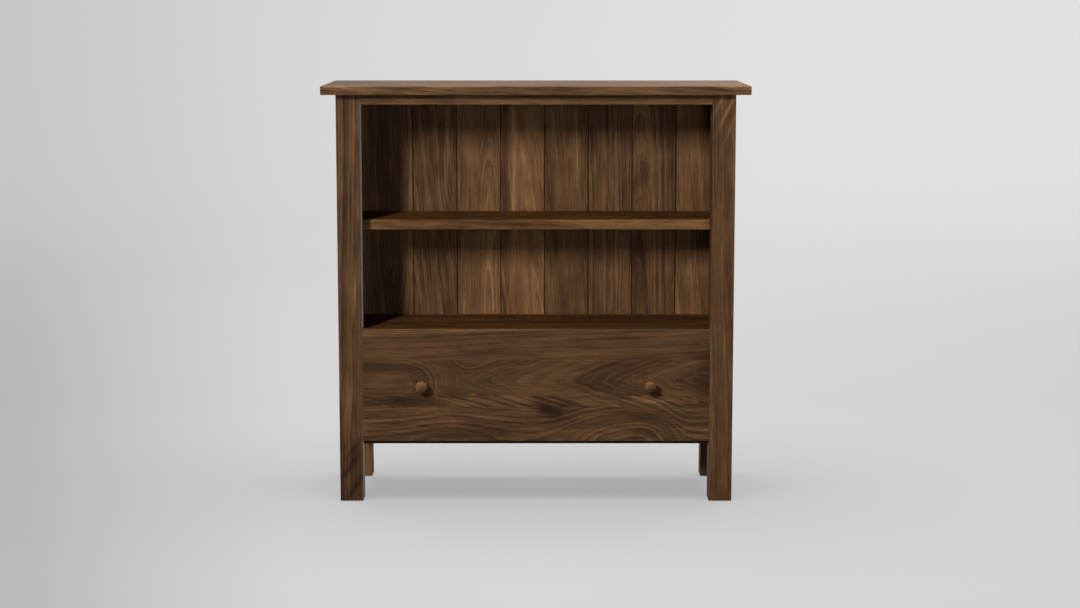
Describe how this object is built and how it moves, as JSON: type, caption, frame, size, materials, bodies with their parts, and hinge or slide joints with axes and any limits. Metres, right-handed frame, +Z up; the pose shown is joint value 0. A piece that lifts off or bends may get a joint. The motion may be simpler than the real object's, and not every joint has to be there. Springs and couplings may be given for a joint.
{
  "type": "bookcase with drawer",
  "caption": "Low walnut bookcase on square legs with an overhanging top, a loose shelf over a deck, and a wide inset bottom drawer with turned knobs.",
  "frame": {"origin": "on the floor, under the middle of the top panel", "axes": "+X to the right seen from the front, +Y to the back, +Z up"},
  "size_m": [0.924, 0.355, 0.914],
  "materials": {
    "walnut_top": "satin oiled walnut, straight grain along the length",
    "walnut_posts": "satin oiled walnut, upright grain",
    "walnut_case": "satin oiled walnut",
    "walnut_back": "satin oiled walnut boards, each with its own upright grain",
    "walnut_shelf": "satin oiled walnut, grain along the length",
    "walnut_drawer_front": "satin oiled walnut staves with cathedral figure",
    "walnut_knobs": "satin oiled walnut, turned",
    "maple": "clear satin maple",
    "birch_plywood": "clear satin birch plywood",
    "zinc_steel": "bright zinc plate",
    "ball_steel": "polished balls in pressed steel strips",
    "bumper_rubber": "soft matte"
  },
  "bodies": {
    "case": {"top_panel": "walnut_top", "front_left_post": "walnut_posts", "front_right_post": "walnut_posts", "rear_left_post": "walnut_posts", "rear_right_post": "walnut_posts", "left_side_panel": "walnut_case", "right_side_panel": "walnut_case", "front_top_rail": "walnut_case", "front_bottom_rail": "walnut_case", "rear_top_rail": "walnut_case", "rear_bottom_rail": "walnut_case", "back_board_1": "walnut_back", "back_board_2": "walnut_back", "back_board_3": "walnut_back", "back_board_4": "walnut_back", "back_board_5": "walnut_back", "back_board_6": "walnut_back", "back_board_7": "walnut_back", "back_board_8": "walnut_back", "deck_panel": "walnut_shelf", "upper_shelf": "walnut_shelf", "left_slide_cleat": "maple", "right_slide_cleat": "maple", "shelf_pins": "zinc_steel", "top_screws": "zinc_steel", "slide_case_screws": "zinc_steel", "left_slide_cabinet_member": "zinc_steel", "right_slide_cabinet_member": "zinc_steel"},
    "drawer": {"drawer_front": "walnut_drawer_front", "left_knob": "walnut_knobs", "right_knob": "walnut_knobs", "drawer_box_front": "maple", "drawer_back": "maple", "drawer_left_side": "maple", "drawer_right_side": "maple", "drawer_bottom": "birch_plywood", "knob_screws": "zinc_steel", "drawer_front_screws": "zinc_steel", "drawer_bottom_screws": "zinc_steel", "slide_drawer_screws": "zinc_steel", "drawer_bumpers": "bumper_rubber", "left_slide_drawer_member": "zinc_steel", "right_slide_drawer_member": "zinc_steel"},
    "left_slide_middle": {"left_slide_middle_member": "zinc_steel"},
    "left_outer_cages": {"left_outer_ball_cages": "ball_steel"},
    "left_inner_cages": {"left_inner_ball_cages": "ball_steel"},
    "right_slide_middle": {"right_slide_middle_member": "zinc_steel"},
    "right_outer_cages": {"right_outer_ball_cages": "ball_steel"},
    "right_inner_cages": {"right_inner_ball_cages": "ball_steel"}
  },
  "joints": [
    {"name": "drawer_slide", "type": "slide", "parent": "case", "child": "drawer", "axis": [0, -1, 0], "range_m": [0, 0.2]},
    {"name": "left_slide_middle_slide", "type": "slide", "parent": "case", "child": "left_slide_middle", "axis": [0, -1, 0], "range_m": [0, 0.10001]},
    {"name": "left_outer_cages_slide", "type": "slide", "parent": "case", "child": "left_outer_cages", "axis": [0, -1, 0], "range_m": [0, 0.05001]},
    {"name": "left_inner_cages_slide", "type": "slide", "parent": "case", "child": "left_inner_cages", "axis": [0, -1, 0], "range_m": [0, 0.15001]},
    {"name": "right_slide_middle_slide", "type": "slide", "parent": "case", "child": "right_slide_middle", "axis": [0, -1, 0], "range_m": [0, 0.10001]},
    {"name": "right_outer_cages_slide", "type": "slide", "parent": "case", "child": "right_outer_cages", "axis": [0, -1, 0], "range_m": [0, 0.05001]},
    {"name": "right_inner_cages_slide", "type": "slide", "parent": "case", "child": "right_inner_cages", "axis": [0, -1, 0], "range_m": [0, 0.15001]}
  ],
  "couplings": [
    {"joint": "left_slide_middle_slide", "follows": "drawer_slide", "ratio": 0.5},
    {"joint": "left_outer_cages_slide", "follows": "drawer_slide", "ratio": 0.25},
    {"joint": "left_inner_cages_slide", "follows": "drawer_slide", "ratio": 0.75},
    {"joint": "right_slide_middle_slide", "follows": "drawer_slide", "ratio": 0.5},
    {"joint": "right_outer_cages_slide", "follows": "drawer_slide", "ratio": 0.25},
    {"joint": "right_inner_cages_slide", "follows": "drawer_slide", "ratio": 0.75}
  ]
}
